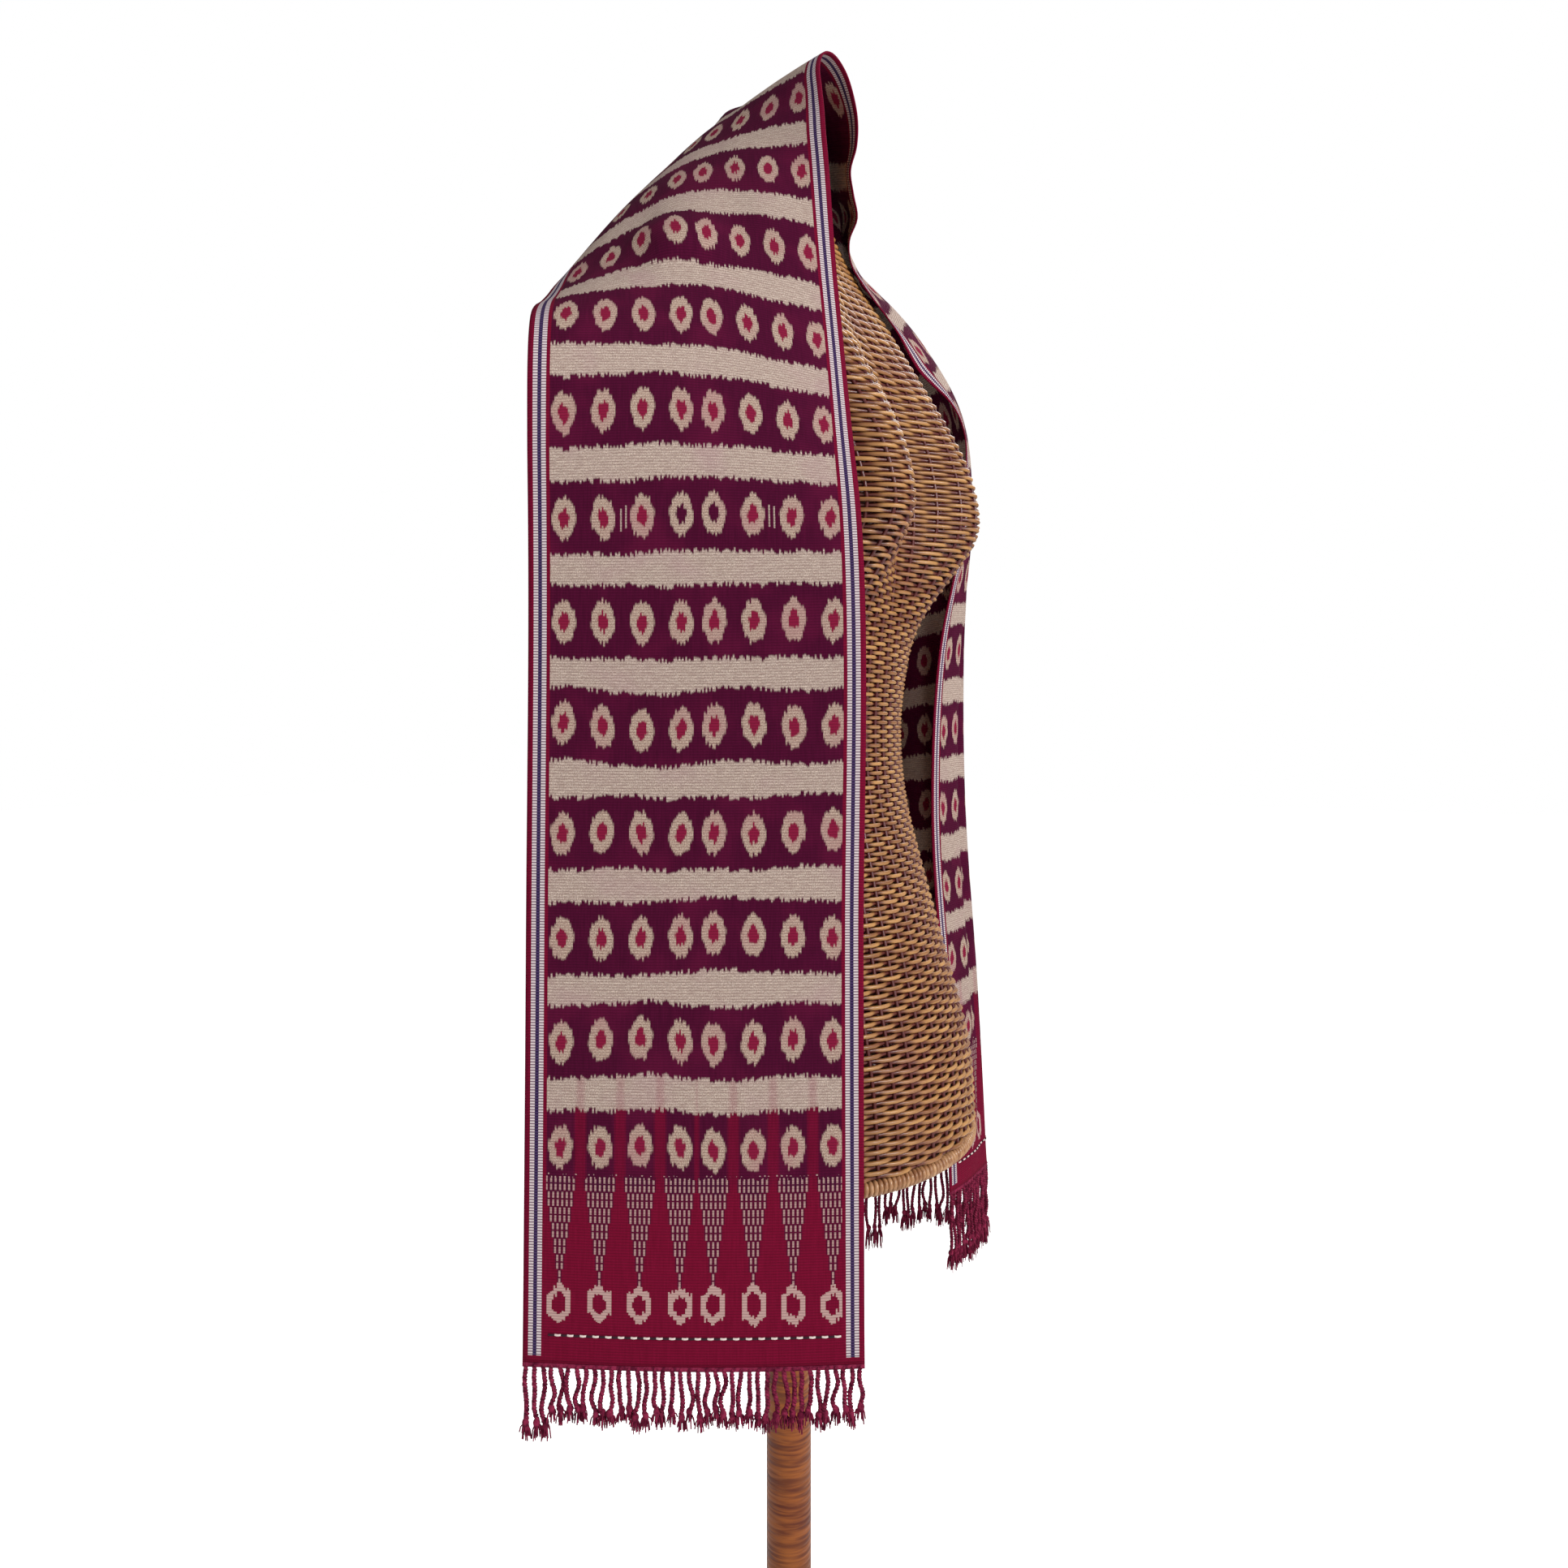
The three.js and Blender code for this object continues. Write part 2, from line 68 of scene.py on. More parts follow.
towards = Vector((math.sin(CAMERA_AZIMUTH), -math.cos(CAMERA_AZIMUTH), 0))
rightwards = Vector((math.cos(CAMERA_AZIMUTH), math.sin(CAMERA_AZIMUTH), 0))
camera_data = bpy.data.cameras.new("camera")
camera_data.sensor_width = SENSOR_MM
camera_data.lens = SENSOR_MM * FOCAL_PIXELS / IMAGE_SIDE
camera_data.shift_y = (HORIZON_ROW - IMAGE_SIDE / 2) / IMAGE_SIDE
camera = bpy.data.objects.new("camera", camera_data)
camera.location = towards * CAMERA_DISTANCE - rightwards * CAMERA_ASIDE + Vector((0, 0, CAMERA_HEIGHT))
camera.rotation_euler = (math.pi / 2, 0, CAMERA_AZIMUTH)
bpy.context.scene.collection.objects.link(camera)
bpy.context.scene.camera = camera
print("lens", round(camera_data.lens, 2), "mm")

# %% [markdown]
# A material is easier to read when each of its nodes is one line, so one small function adds a
# node with its settings and its links and hands back the socket that the next node needs. Colours
# are written as sRGB hex values, as a paint chart gives them, and turned to linear once. The
# short words for sums and comparisons work on the material in hand, which is always called tree.
# %% Colour and material helpers
def linear(hex_colour):
    channels = [int(hex_colour[i:i + 2], 16) / 255 for i in (1, 3, 5)]
    return [c / 12.92 if c <= 0.04045 else ((c + 0.055) / 1.055) ** 2.4 for c in channels] + [1.0]


def add(tree, kind, inputs=(), output=0, **settings):
    node = tree.nodes.new("ShaderNode" + kind)
    for name, value in settings.items():
        setattr(node, name, value)
    pairs = inputs.items() if isinstance(inputs, dict) else enumerate(inputs)
    for socket, value in pairs:
        if isinstance(value, bpy.types.NodeSocket):
            tree.links.new(value, node.inputs[socket])
        else:
            node.inputs[socket].default_value = value
    return node.outputs[output]


def new_material(name):
    material = bpy.data.materials.new(name)
    material.use_nodes = True
    material.node_tree.nodes.clear()
    return material, material.node_tree


def finish_material(tree, inputs):
    shader = add(tree, "BsdfPrincipled", inputs)
    material_output = tree.nodes.new("ShaderNodeOutputMaterial")
    tree.links.new(shader, material_output.inputs["Surface"])


def set_material(piece, material):
    piece.data.materials.clear()
    piece.data.materials.append(material)


def add_math(operation, *inputs):
    return add(tree, "Math", inputs, operation=operation)


def plus(first, *others):
    for other in others:
        first = add_math("ADD", first, other)
    return first


def minus(first, second):
    return add_math("SUBTRACT", first, second)


def times(first, *others):
    for other in others:
        first = add_math("MULTIPLY", first, other)
    return first


def over(first, second):
    return add_math("DIVIDE", first, second)


def absolute(value):
    return add_math("ABSOLUTE", value)


def above(value, limit):
    return add_math("GREATER_THAN", value, limit)


def below(value, limit):
    return add_math("LESS_THAN", value, limit)


def between(value, low, high):
    return times(above(value, low), below(value, high))


def ramp(value, low, high):
    return add(tree, "MapRange", {0: value, 1: low, 2: high}, interpolation_type="SMOOTHSTEP")


def inside(value, low, high):
    return minus(1.0, ramp(value, low, high))


def add_mix(share, first, second):
    return add(tree, "Mix", {0: share, 6: first, 7: second}, output=2, data_type="RGBA")


def noise(vector, scale, detail):
    return add(tree, "TexNoise", {"Vector": vector, "Scale": scale, "Detail": detail})


# %% [markdown]
# The floor is a wide white plane under an even sky, and three soft lamps shape the cloth: a broad
# key from the camera's right and above, which leaves the inside of the far fold dark, a weaker
# fill from its left and one from above and behind. The floor glows fully only for the camera, so
# it looks like white paper and yet hardly lights the object from below.
# %% Floor and light
SKY_LIGHT = 0.32
SKY_SEEN = 1.0
FLOOR_LIGHT = 0.08
FLOOR_SEEN = 0.75

bpy.ops.object.select_all(action="DESELECT")
bpy.ops.mesh.primitive_plane_add(size=30, location=(0, 0, 0))
floor = bpy.context.object
floor.name = "floor"
paper, tree = new_material("matt_white_paper")
glow = add(tree, "MapRange", {0: add(tree, "LightPath"), 3: FLOOR_LIGHT, 4: FLOOR_SEEN})
finish_material(tree, {"Base Color": linear("#F4F3F1"), "Roughness": 0.95,
                       "Emission Color": linear("#FFFFFF"), "Emission Strength": glow})
set_material(floor, paper)

bpy.context.scene.view_settings.view_transform = "Standard"
world = bpy.data.worlds.new("studio")
world.use_nodes = True
tree = world.node_tree
tree.nodes.clear()
strength = add(tree, "MapRange", {0: add(tree, "LightPath"), 3: SKY_LIGHT, 4: SKY_SEEN})
background = add(tree, "Background", {0: linear("#FFFFFF"), 1: strength})
world_output = tree.nodes.new("ShaderNodeOutputWorld")
tree.links.new(background, world_output.inputs["Surface"])
bpy.context.scene.world = world

LAMP_AIM = Vector((0, 0, 1.1))
# name, metres towards the camera, to its right and up, size in metres, watts
lamps = (("key", 1.7, 2.2, 2.3, 1.0, 76),
         ("fill", 2.4, -1.6, 1.5, 1.8, 16),
         ("back", -1.6, 0.8, 2.6, 1.4, 26))
for name, near, right, up, size, watts in lamps:
    lamp_data = bpy.data.lights.new(name, "AREA")
    lamp_data.size = size
    lamp_data.energy = watts
    lamp = bpy.data.objects.new(name, lamp_data)
    lamp.location = towards * near + rightwards * right + Vector((0, 0, up))
    lamp.rotation_euler = (LAMP_AIM - lamp.location).to_track_quat("-Z", "Y").to_euler()
    bpy.context.scene.collection.objects.link(lamp)

# %% [markdown]
# The dress form is a stack of ovals with a bust, and the cloth is drawn through a few cross
# sections and then settled, as in the measured model: its threads take their woven length and it
# slides clear of the form. Using the same few sizes here keeps the dressed cloth exactly where
# the measured cloth is.
# %% The form's ovals and a smooth curve through uneven points, in millimetres
form_sections = np.array([
    # height, half width, half depth, centre y
    (650, 180, 165, 0), (720, 178, 159, 0), (800, 162, 138, 0), (880, 140, 116, 0),
    (940, 128, 101, 0), (1000, 123, 96, 0), (1060, 130, 100, 0), (1130, 148, 106, 2),
    (1200, 162, 106, 6), (1280, 173, 98, 10), (1340, 183, 86, 14), (1380, 182, 72, 16),
    (1410, 148, 61, 18), (1440, 88, 55, 19), (1470, 57, 51, 20), (1500, 50, 50, 20),
    (1522, 49, 49, 20), (1538, 45, 45, 20), (1549, 35, 35, 20), (1553, 20, 20, 20)], float)
FORM_BOTTOM, FORM_TOP = 650.0, 1553.0
OVER_TOP_SLOPE = 3
BUST_HEIGHT, BUST_ASIDE, BUST_REACH, BUST_WIDTH = 1185, 85, 76, 54
BUST_BELOW, BUST_ABOVE = 66, 136


def smooth(knots, values, at):
    slope = np.gradient(values, knots, axis=0)
    at = np.clip(at, knots[0], knots[-1])
    i = np.clip(np.searchsorted(knots, at, side="right") - 1, 0, len(knots) - 2)
    span = knots[i + 1] - knots[i]
    t = (at - knots[i]) / span
    if values.ndim > 1:
        t = t[..., None]
        span = span[..., None]
    start = (2 * t**3 - 3 * t**2 + 1) * values[i] + (t**3 - 2 * t**2 + t) * span * slope[i]
    return start + (3 * t**2 - 2 * t**3) * values[i + 1] + (t**3 - t**2) * span * slope[i + 1]


def bust_reach(x, z):
    across = (np.abs(x) - BUST_ASIDE) / BUST_WIDTH
    up = (z - BUST_HEIGHT) / np.where(z > BUST_HEIGHT, BUST_ABOVE, BUST_BELOW)
    return BUST_REACH * np.exp(-across**2 - up**2)


def form_field(points):
    x, y, z = points[..., 0], points[..., 1], points[..., 2]
    section = smooth(form_sections[:, 0], form_sections[:, 1:], np.clip(z, FORM_BOTTOM, FORM_TOP))
    half_width, half_depth, centre_y = section[..., 0], section[..., 1], section[..., 2]
    forward = centre_y - y
    depth = forward - bust_reach(x, z) * np.clip(forward / half_depth, 0, 1)
    ratio = np.hypot(x / half_width, depth / half_depth)
    over_top = OVER_TOP_SLOPE * np.maximum(z - FORM_TOP, 0)
    return (ratio - 1) * np.minimum(half_width, half_depth) + over_top


# %% [markdown]
# The scarf hangs flat at the form's right, rises over the shoulder to the front of the neck,
# crosses the neck and comes down in a soft upright fold at the other side. Each row below is a
# straight look across the cloth: the edge nearer the neck, the middle and the outer edge.
# %% The cloth's cross sections and settling
drape = np.array([
    [(-155, -152, 549), (-218, -47, 546), (-278, 62, 551)],
    [(-155, -150, 846), (-217, -47, 846), (-276, 59, 846)],
    [(-152, -147, 1151), (-215, -46, 1151), (-275, 57, 1151)],
    [(-130, -127, 1219), (-206, -40, 1229), (-275, 60, 1222)],
    [(-108, -110, 1287), (-190, -29, 1303), (-272, 60, 1292)],
    [(-98, -96, 1354), (-166, -8, 1370), (-222, 90, 1330)],
    [(-90, -86, 1426), (-138, 14, 1438), (-168, 107, 1378)],
    [(-82, -80, 1500), (-88, 42, 1494), (-110, 122, 1422)],
    [(-58, -72, 1549), (-38, 42, 1542), (-52, 128, 1466)],
    [(-8, -66, 1530), (34, 36, 1546), (20, 132, 1486)],
    [(26, -52, 1472), (90, 32, 1500), (92, 128, 1458)],
    [(54, -46, 1404), (140, 12, 1452), (162, 116, 1404)],
    [(106, -72, 1354), (186, -24, 1400), (218, 92, 1344)],
    [(152, -102, 1298), (232, -52, 1326), (240, 64, 1272)],
    [(169, -103, 1216), (254, -54, 1228), (236, 52, 1188)],
    [(160, -78, 1078), (253, -51, 1084), (218, 52, 1060)],
    [(157, -70, 920), (256, -52, 924), (212, 52, 918)],
    [(167, -77, 742), (269, -60, 742), (218, 48, 742)],
    [(172, -82, 540), (278, -68, 540), (222, 46, 540)]], float)
CLOTH_WIDTH = 240.0
CLOTH_CLEARANCE = 4.0
CELLS_ACROSS, CELLS_ALONG = 12, 106
SETTLING_ROUNDS = 400
SETTLING_STEP = 1.6
HOLD = 0.03
PROBE = 0.5
LARGEST_PUSH = 6
# steps along and across the cloth, and stiffness
threads = [(0, 1, 1), (1, 0, 1), (1, 1, 0.5), (1, -1, 0.5), (0, 2, 0.3), (2, 0, 0.4), (3, 0, 0.3)]


def drawn_cloth():
    steps = np.linalg.norm(np.diff(drape[:, [0, 2]], axis=0), axis=-1).mean(axis=1)
    distances = np.concatenate([[0], np.cumsum(steps)])
    along = np.linspace(0, distances[-1], CELLS_ALONG + 1)
    inner, middle, outer = (smooth(distances, drape[:, k], along)[:, None] for k in range(3))
    s = np.linspace(0, 1, CELLS_ACROSS + 1)[None, :, None]
    cloth = inner * 2 * (s - 0.5) * (s - 1) + middle * 4 * s * (1 - s) + outer * 2 * s * (s - 0.5)
    return cloth, distances[-1]


def push_out(points):
    steps = np.eye(3) * PROBE
    rises = [form_field(points + step) - form_field(points - step) for step in steps]
    slope = np.stack(rises, axis=-1) / (2 * PROBE)
    steepness = np.sqrt((slope**2).sum(axis=-1) + 1e-9)
    short = np.clip(CLOTH_CLEARANCE - form_field(points) / steepness, 0, LARGEST_PUSH)
    return points + (short / steepness)[..., None] * slope


def settle(drawn, length):
    cell = (length / CELLS_ALONG, CLOTH_WIDTH / CELLS_ACROSS)
    points = drawn.copy()
    rows, columns = points.shape[:2]
    for _ in range(SETTLING_ROUNDS):
        moves = np.zeros_like(points)
        weights = np.zeros((rows, columns, 1))
        for along, across, stiffness in threads:
            woven = math.hypot(along * cell[0], across * cell[1])
            here = (slice(0, rows - along), slice(max(0, -across), columns - max(0, across)))
            there = (slice(along, rows), slice(max(0, across), columns - max(0, -across)))
            gap = points[there] - points[here]
            now = np.linalg.norm(gap, axis=-1, keepdims=True)
            pull = stiffness * 0.5 * (now - woven) * gap / now
            moves[here] += pull
            moves[there] -= pull
            weights[here] += stiffness
            weights[there] += stiffness
        points = points + SETTLING_STEP * moves / weights
        points = push_out(points + HOLD * (drawn - points))
    return points


drawn, cloth_length = drawn_cloth()
cloth = settle(drawn, cloth_length)
print("cloth", CLOTH_WIDTH, "by", round(cloth_length, 1), "mm, top at", cloth[..., 2].max().round(1))


# %% [markdown]
# Twenty millimetre cells are enough to weigh and to pose the cloth, but light shows every facet.
# The grid is refined with smooth curves along both directions, and Solidify gives it the
# thickness of a handspun cotton. Its texture coordinates are centimetres of woven cloth.
# %% The cloth's fine surface
CM = 10.0
FINE_ACROSS, FINE_ALONG = 72, 530
CLOTH_THICKNESS = 1.3


def refined(grid, counts):
    for axis, count in enumerate(counts):
        grid = np.moveaxis(grid, axis, 0)
        grid = smooth(np.arange(len(grid), dtype=float), grid.reshape(len(grid), -1),
                      np.linspace(0, len(grid) - 1, count + 1)).reshape(count + 1, *grid.shape[1:])
        grid = np.moveaxis(grid, 0, axis)
    return grid


def grid_normals(grid):
    along = np.gradient(grid, axis=0)
    across = np.gradient(grid, axis=1)
    normal = np.cross(across, along)
    return normal / np.linalg.norm(normal, axis=-1, keepdims=True)


fine = refined(cloth, (FINE_ALONG, FINE_ACROSS))
across_mm = np.linspace(0, CLOTH_WIDTH, FINE_ACROSS + 1)[None, :]
along_mm = np.linspace(0, cloth_length, FINE_ALONG + 1)[:, None]
normals = grid_normals(fine)


def grid_object(name, grid, uv):
    rows, columns = grid.shape[:2]
    index = np.arange(rows * columns).reshape(rows, columns)
    corners = [index[:-1, :-1], index[:-1, 1:], index[1:, 1:], index[1:, :-1]]
    faces = np.stack(corners, axis=-1).reshape(-1, 4)
    mesh = bpy.data.meshes.new(name)
    mesh.from_pydata(grid.reshape(-1, 3).tolist(), [], faces.tolist())
    layer = mesh.uv_layers.new(name="weave")
    layer.data.foreach_set("uv", uv.reshape(-1, 2)[faces.reshape(-1)].ravel())
    mesh.polygons.foreach_set("use_smooth", [True] * len(mesh.polygons))
    piece = bpy.data.objects.new(name, mesh)
    bpy.context.scene.collection.objects.link(piece)
    return piece


def make_active(piece):
    bpy.ops.object.select_all(action="DESELECT")
    piece.select_set(True)
    bpy.context.view_layer.objects.active = piece


def thicken(piece, thickness):
    make_active(piece)
    solidify = piece.modifiers.new("thickness", "SOLIDIFY")
    solidify.thickness = thickness * MM
    solidify.offset = 0
    bpy.ops.object.modifier_apply(modifier="thickness")


cloth_uv = np.stack(np.broadcast_arrays(across_mm / CM, along_mm / CM), axis=-1)
scarf = grid_object("pua_kumbu", fine * MM, cloth_uv)
thicken(scarf, CLOTH_THICKNESS)
print("scarf triangles", sum(len(p.vertices) - 2 for p in scarf.data.polygons))

# %% [markdown]
# The pattern is dyed into the warp, so every mark is made of short lengths of single warp bundles
# and its edges step up and down from bundle to bundle. The material therefore works on the
# cloth's own coordinates in centimetres: u across, v along, and w from the nearer end, because
# both halves are alike. Each bundle is shifted along by a small chance amount, and whole
# neighbourhoods by a slow one, before any mark is looked up.
# %% Handspun cotton: coordinates and uneven bundles
FIRST_ROW = 15.45
PERIOD = 7.45
MIRROR = cloth_length / CM / 2
BUNDLE = 0.12
JITTER = 0.42
SWAY = 1.3
OTHER_HALF_KEY = 40.0

cotton, tree = new_material("handspun_cotton_ikat")
coordinates = add(tree, "UVMap", uv_map="weave")
split = tree.nodes.new("ShaderNodeSeparateXYZ")
tree.links.new(coordinates, split.inputs[0])
u, v = split.outputs[0], split.outputs[1]
w = add_math("MINIMUM", v, minus(2 * MIRROR, v))

bundle = add_math("FLOOR", over(u, BUNDLE))
u_bundle = times(plus(bundle, 0.5), BUNDLE)
row_guess = add_math("ROUND", over(minus(w, FIRST_ROW), PERIOD))
row_side = plus(row_guess, times(above(v, MIRROR), OTHER_HALF_KEY))
bundle_key = add(tree, "CombineXYZ", [bundle, row_side, 0.0])
chance = add(tree, "TexWhiteNoise", {0: bundle_key}, noise_dimensions="3D")
slow_key = add(tree, "CombineXYZ", [times(u, 0.16), times(row_side, 3.7), 0.0])
slow = noise(slow_key, 1.0, 1.0)
jitter = times(minus(chance, 0.5), JITTER)
sway = times(minus(slow, 0.5), SWAY)
w_dyed = plus(w, plus(jitter, sway))

# %% [markdown]
# Rings stand in rows and in eight columns that mirror about the cloth's middle line. A ring is
# two pointed ovals, one inside the other, and cream bars lie between the rows. At the middle of
# the cloth one row stands alone, farther from its neighbours. In the seventh row the two middle
# rings stay purple inside, and short white dashes stand farther out.
# %% Rings and bars
MID_COLUMN = 11.83
FIRST_COLUMN = 1.17
COLUMN_STEP = 2.81
LAST_COLUMN = 3.0
LAST_BAR = 101.1
BAR_HALF = 1.26
BAR_EDGE = (2.48, 2.7)
RING_HALVES = (0.88, 1.5)
CENTRE_HALVES = (0.41, 0.71)
RINGS_FROM = (13.9, 14.1)
SEVENTH_ROW = 6.0
ROW_DASHES = 5.35


def pointed_oval(half_width, half_length):
    across = add_math("POWER", over(column_distance, half_width), 2.0)
    along = add_math("POWER", over(row_distance, half_length), 1.5)
    return plus(across, along)


row_place = over(minus(w_dyed, FIRST_ROW), PERIOD)
row = add_math("ROUND", row_place)
from_row = times(minus(row_place, row), PERIOD)
in_middle = above(w_dyed, LAST_BAR + BAR_HALF)
middle_row = {0: in_middle, 2: from_row, 3: minus(w_dyed, MIRROR)}
row_distance = absolute(add(tree, "Mix", middle_row, data_type="FLOAT"))

from_mid = absolute(minus(u_bundle, MID_COLUMN))
column_place = over(minus(from_mid, FIRST_COLUMN), COLUMN_STEP)
column = add_math("MAXIMUM", add_math("ROUND", column_place), 0.0)
column = add_math("MINIMUM", column, LAST_COLUMN)
column_distance = absolute(times(minus(column_place, column), COLUMN_STEP))

in_ring = inside(pointed_oval(*RING_HALVES), 0.86, 1.12)
in_centre = inside(pointed_oval(*CENTRE_HALVES), 0.75, 1.15)
past_end = ramp(w_dyed, *RINGS_FROM)
in_bar = add_math("MAXIMUM", minus(ramp(row_distance, *BAR_EDGE), in_middle), 0.0)
in_bar = times(in_bar, past_end)

in_seventh = add_math("COMPARE", row, SEVENTH_ROW, 0.4)
plain_centre = times(in_seventh, below(from_mid, COLUMN_STEP))
dash_line = add_math("COMPARE", absolute(minus(from_mid, ROW_DASHES)), 0.16, 0.07)
row_dash = times(dash_line, in_seventh, below(row_distance, 0.8))

# %% [markdown]
# Toward each end the ground turns crimson and runs up between the last rings in streaks. Spears
# of dashed warp lines stand on it in tiers two dashes tall. Each tier has one line fewer than the
# tier above, so the lines of two tiers fall between each other down to the spear's point, which
# meets a six-sided ring.
# %% Crimson ends, spears and six-sided rings
END_EDGE = (12.6, 13.6)
STREAKS_TO = 18.2
FAINT_STREAKS_TO = 20.6
DASH_PITCH = 0.56
DASH_SHARE = 0.8
LINE_STEP = 0.32
LINE_HALF = 0.22
TIER_BELOW_SPEAR = 4.0
SPEAR_FROM, SPEAR_TO = 5.5, 13.35
HEXAGON_ROW = 4.35
HEXAGON_HALF = 0.84
HEXAGON_SLANTS = (1.75, 1.42)
HEXAGON_INNER = 0.56

under_ring = inside(column_distance, 0.6, 1.0)
w_end = plus(w_dyed, jitter, times(under_ring, 0.8))
in_end = inside(w_end, *END_EDGE)
streak = times(ramp(column_distance, 0.9, 1.12), below(w_dyed, STREAKS_TO))
crimson_ground = add_math("MAXIMUM", in_end, times(streak, 0.75))
faint_streak = times(ramp(column_distance, 0.95, 1.3), below(w_dyed, FAINT_STREAKS_TO))

even_place = over(minus(absolute(minus(u, MID_COLUMN)), FIRST_COLUMN), COLUMN_STEP)
even_offset = times(minus(even_place, add_math("ROUND", even_place)), COLUMN_STEP)
tier = add_math("FLOOR", over(w, 2 * DASH_PITCH))
half_step = minus(0.5, times(add_math("MODULO", tier, 2.0), 0.5))
line_place = plus(over(even_offset, LINE_STEP), 0.5, half_step)
from_line = absolute(minus(add_math("FRACT", line_place), 0.5))
line_centre = absolute(minus(add_math("FLOOR", line_place), half_step))
spear_half = times(minus(tier, TIER_BELOW_SPEAR), 0.5)
in_spear = times(below(line_centre, spear_half), above(w, SPEAR_FROM))
in_spear = times(in_spear, below(plus(w, jitter), SPEAR_TO))
on_dash = below(add_math("FRACT", over(w, DASH_PITCH)), DASH_SHARE)
spear_mark = times(in_spear, below(from_line, LINE_HALF), on_dash)

w_soft = plus(w, plus(jitter, times(sway, 0.5)))
slant_across = over(column_distance, HEXAGON_SLANTS[0])
slant_along = over(absolute(minus(w_soft, HEXAGON_ROW)), HEXAGON_SLANTS[1])
hexagon = add_math("MAXIMUM", over(column_distance, HEXAGON_HALF), plus(slant_across, slant_along))
hexagon_ring = between(hexagon, HEXAGON_INNER, 1.0)
end_mark = add_math("MAXIMUM", times(spear_mark, 0.8), hexagon_ring)

# %% [markdown]
# Two white stripes with a navy one between them run along each selvedge, measured in from the
# nearer edge. They stop at the plain hem.
# %% Selvedge borders
STRIPES = (0.39, 0.72, 0.99, 1.32)
FIELD_FROM = 1.58
HEM_HEIGHT = 0.5
HEM_STITCH = 2.25

edge = add_math("MINIMUM", u, minus(CLOTH_WIDTH / CM, u))
in_field = above(edge, FIELD_FROM)
in_white = plus(between(edge, *STRIPES[:2]), between(edge, *STRIPES[2:]))
in_navy = between(edge, *STRIPES[1:3])
above_hem = above(w, HEM_HEIGHT)
above_stitch = above(w, HEM_STITCH)

# %% [markdown]
# Dye takes unevenly, so each colour is a mix of two that varies from thread to thread, with a
# slow cloud over the whole cloth. The marks are then laid over the ground in the order in which
# they cover each other. Last, painted shade darkens the grooves between the weft ribs.
# %% Dyes
RIB = 0.2


def thread_noise(across_scale, along_scale, detail):
    key = add(tree, "CombineXYZ", [times(u, across_scale), times(v, along_scale), 0.0])
    return noise(key, 1.0, detail)


thread = thread_noise(9.0, 0.5, 3.0)
speck = thread_noise(14.0, 9.0, 2.0)
slub = thread_noise(1.6, 6.0, 3.0)
cloud = noise(coordinates, 0.22, 2.0)
rib_wave = add_math("SINE", times(v, 2 * math.pi / RIB))
bead = absolute(minus(add_math("FRACT", over(v, RIB)), 0.5))

purple = add_mix(thread, linear("#38001F"), linear("#5A0A34"))
purple = add_mix(times(ramp(cloud, 0.45, 0.7), 0.45), purple, linear("#681038"))
crimson = add_mix(thread, linear("#640022"), linear("#860C34"))
cream = add_mix(ramp(speck, 0.3, 0.7), linear("#A18A7E"), linear("#D8C5B8"))
cream = add_mix(times(ramp(slub, 0.42, 0.62), 0.55), cream, linear("#A68E84"))
cream = add_mix(times(ramp(cloud, 0.5, 0.75), 0.35), cream, linear("#B28C92"))
ring_cream = add_mix(ramp(speck, 0.3, 0.7), linear("#9A7A6E"), linear("#CDB8A6"))
ring_cream = add_mix(times(ramp(cloud, 0.4, 0.7), 0.5), ring_cream, linear("#B07A7E"))

ground = add_mix(crimson_ground, purple, crimson)
ground = add_mix(times(in_spear, 0.7), ground, linear("#450C2E"))
ground = add_mix(in_bar, ground, cream)
ground = add_mix(times(faint_streak, times(in_bar, 0.3)), ground, linear("#9A4A60"))
ground = add_mix(times(in_ring, past_end), ground, ring_cream)
centre = add_mix(plain_centre, linear("#86183A"), purple)
ground = add_mix(times(in_centre, past_end), ground, centre)
ground = add_mix(times(row_dash, 0.8), ground, cream)
field = add_mix(times(end_mark, above_stitch), ground, linear("#C09C96"))

white_thread = add_mix(ramp(bead, 0.2, 0.45), linear("#DCCFD0"), linear("#7A5C70"))
navy_thread = add_mix(ramp(bead, 0.2, 0.45), linear("#2F2148"), linear("#54406A"))
border = add_mix(in_white, crimson, white_thread)
border = add_mix(in_navy, border, navy_thread)
border = add_mix(above_hem, crimson, border)
colour = add_mix(in_field, border, field)
# painted shade in the grooves between the weft ribs
colour = add_mix(times(inside(rib_wave, -1.0, 0.2), 0.3), colour, linear("#240010"))

# %% [markdown]
# The weave itself is relief: weft ribs, with the warp's fine grain across them and a little
# roughness of handspun thread.
# %% Weave relief
warp_wave = add_math("SINE", times(u, 2 * math.pi / (BUNDLE / 2)))
relief = plus(times(rib_wave, 0.5), times(warp_wave, 0.22), times(speck, 1.1))
bump = add(tree, "Bump", {"Strength": 0.45, "Distance": 0.0006, "Height": relief})
finish_material(tree, {"Base Color": colour, "Roughness": 0.95, "Specular IOR Level": 0.12,
                       "Normal": bump})
set_material(scarf, cotton)
print("cotton nodes", len(tree.nodes))

# %% [markdown]
# Round rattan core is woven over and under upright stakes, so each weaver waves in and out and
# neighbouring rows wave oppositely. A curve with a round bevel is the natural tool: one closed
# spline a row, converted to a mesh when the band is done. Every vertex keeps how far out its
# weaver waves there, which the material uses to paint shade into the hollows; the stakes get one
# fixed value, so they are painted in shade too.
# %% Wicker body
STAKES = 54
STAKE_RADIUS = 1.7
WEAVER_RADIUS = 1.75
ROW_PITCH = 3.9
SMALLEST_RISE = 1.6
LEAN_SHARE = 0.6
WAVE = 1.9
FLOAT_BOW = (0.6, 1.0, 0.6)
STAKE_STEP = 14.0
ROWS_BELOW_TOP, STAKES_BELOW_TOP = 3, 2
